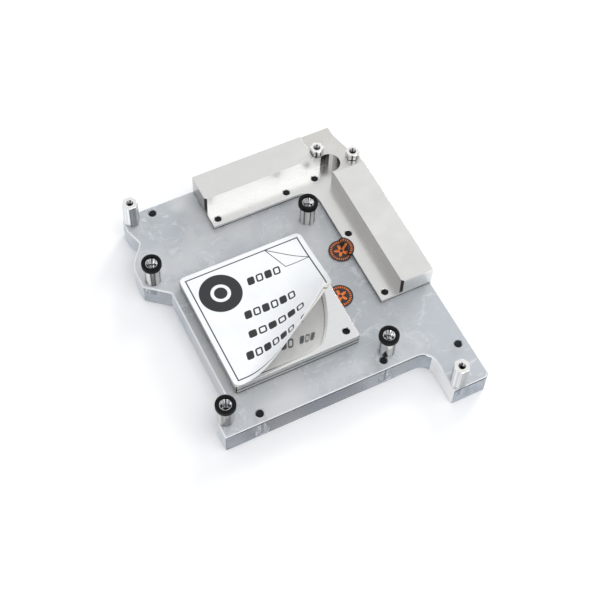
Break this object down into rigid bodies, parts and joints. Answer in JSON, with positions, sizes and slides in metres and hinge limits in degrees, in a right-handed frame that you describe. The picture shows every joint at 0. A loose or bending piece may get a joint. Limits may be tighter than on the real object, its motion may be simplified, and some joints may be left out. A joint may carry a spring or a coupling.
{
  "type": "motherboard monoblock",
  "caption": "Full-cover water block in clear plastic with nickel-plated cold plates, board standoffs and a half-peeled protective film, lying board side up.",
  "frame": {"origin": "on the inlet port's axis, which is the middle of the processor hole pattern, at the front face the block lies on", "axes": "+Z away from the front face towards the mainboard, +Y along the longer side towards the back edge, +X towards the side that carries the long arm of the regulator plate"},
  "size_m": [0.1145, 0.141, 0.0462],
  "materials": {
    "acrylic": "clear, polished faces",
    "nickel": "milled copper under bright nickel plating",
    "steel": "rolled sheet",
    "black_steel": "blackened screws",
    "black_plastic": "turned or cut plastic",
    "rubber": "seal cord",
    "film": "printed white film",
    "label": "printed seal label"
  },
  "bodies": {
    "root": {"acrylic_body": "acrylic", "bar_screw_1": "black_steel", "bar_screw_2": "black_steel", "bar_screw_3": "black_steel", "bar_screw_4": "black_steel", "body_screw_1": "black_steel", "body_screw_2": "black_steel", "body_screw_3": "black_steel", "body_screw_4": "black_steel", "corner_board_standoff": "nickel", "cpu_cold_plate": "nickel", "cpu_o_ring": "rubber", "cpu_plate_screw_1": "black_steel", "cpu_plate_screw_2": "black_steel", "cpu_plate_screw_3": "black_steel", "cpu_plate_screw_4": "black_steel", "cpu_standoff_1": "nickel", "cpu_standoff_2": "nickel", "cpu_standoff_3": "nickel", "cpu_standoff_4": "nickel", "cpu_washer_1": "black_plastic", "cpu_washer_2": "black_plastic", "cpu_washer_3": "black_plastic", "cpu_washer_4": "black_plastic", "flange_screw_1": "black_steel", "flange_screw_2": "black_steel", "flange_screw_3": "black_steel", "flange_screw_4": "black_steel", "flange_screw_5": "black_steel", "flange_seal_label": "label", "foot_board_standoff": "nickel", "inner_board_standoff": "nickel", "jet_insert": "black_plastic", "jet_plate": "steel", "link_plug": "nickel", "outer_board_standoff": "nickel", "plate_seal_label": "label", "protective_film": "film", "vrm_cold_plate": "nickel", "vrm_o_ring": "rubber"}
  },
  "joints": []
}
